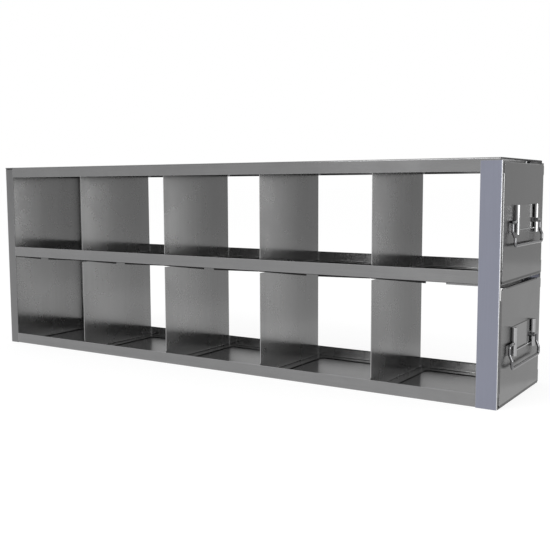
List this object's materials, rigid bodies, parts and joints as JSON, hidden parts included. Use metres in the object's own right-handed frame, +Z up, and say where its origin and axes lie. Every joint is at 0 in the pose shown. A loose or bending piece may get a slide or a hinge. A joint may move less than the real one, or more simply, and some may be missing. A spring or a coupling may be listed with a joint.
{
  "type": "freezer storage rack",
  "caption": "Open-sided stainless sheet rack with stacked sliding drawers, fixed dividers for square storage boxes, label holders and swing-up wire pulls.",
  "frame": {"origin": "middle of the housing's underside, halfway between the rear panel and the front faces of the front posts", "axes": "+X is the way a drawer is pulled, along the row of compartments; +Y runs across the rack; +Z is up"},
  "size_m": [0.7079, 0.143, 0.244],
  "materials": {
    "housing_steel": "satin brushed along the length",
    "post_steel": "fine matt, slightly blue",
    "drawer_steel": "satin, soft mirror",
    "front_steel": "satin, soft mirror",
    "holder_steel": "bright rolled sheet",
    "bail_wire": "polished wire"
  },
  "bodies": {
    "housing": {"housing_bottom": "housing_steel", "mid_shelf": "housing_steel", "housing_top": "housing_steel", "rear_panel": "housing_steel", "front_post_near": "post_steel", "front_post_far": "post_steel", "lower_stop_near": "housing_steel", "lower_stop_far": "housing_steel", "upper_stop_near": "housing_steel", "upper_stop_far": "housing_steel"},
    "lower_drawer": {"lower_tray": "drawer_steel", "lower_rear": "drawer_steel", "lower_divider_1": "drawer_steel", "lower_divider_2": "drawer_steel", "lower_divider_3": "drawer_steel", "lower_divider_4": "drawer_steel", "lower_front": "front_steel", "lower_label_holder": "holder_steel"},
    "upper_drawer": {"upper_tray": "drawer_steel", "upper_rear": "drawer_steel", "upper_divider_1": "drawer_steel", "upper_divider_2": "drawer_steel", "upper_divider_3": "drawer_steel", "upper_divider_4": "drawer_steel", "upper_front": "front_steel", "upper_label_holder": "holder_steel"},
    "lower_handle": {"lower_bail": "bail_wire"},
    "upper_handle": {"upper_bail": "bail_wire"}
  },
  "joints": [
    {"name": "lower_drawer_slide", "type": "slide", "parent": "housing", "child": "lower_drawer", "axis": [1, 0, 0], "range_m": [0, 0.64]},
    {"name": "lower_bail_hinge", "type": "hinge", "parent": "lower_drawer", "child": "lower_handle", "pos_m": [0.3537, 0, 0.06015], "axis": [0, -1, 0], "range_deg": [0, 90]},
    {"name": "upper_drawer_slide", "type": "slide", "parent": "housing", "child": "upper_drawer", "axis": [1, 0, 0], "range_m": [0, 0.64]},
    {"name": "upper_bail_hinge", "type": "hinge", "parent": "upper_drawer", "child": "upper_handle", "pos_m": [0.3537, 0, 0.18165], "axis": [0, -1, 0], "range_deg": [0, 90]}
  ]
}
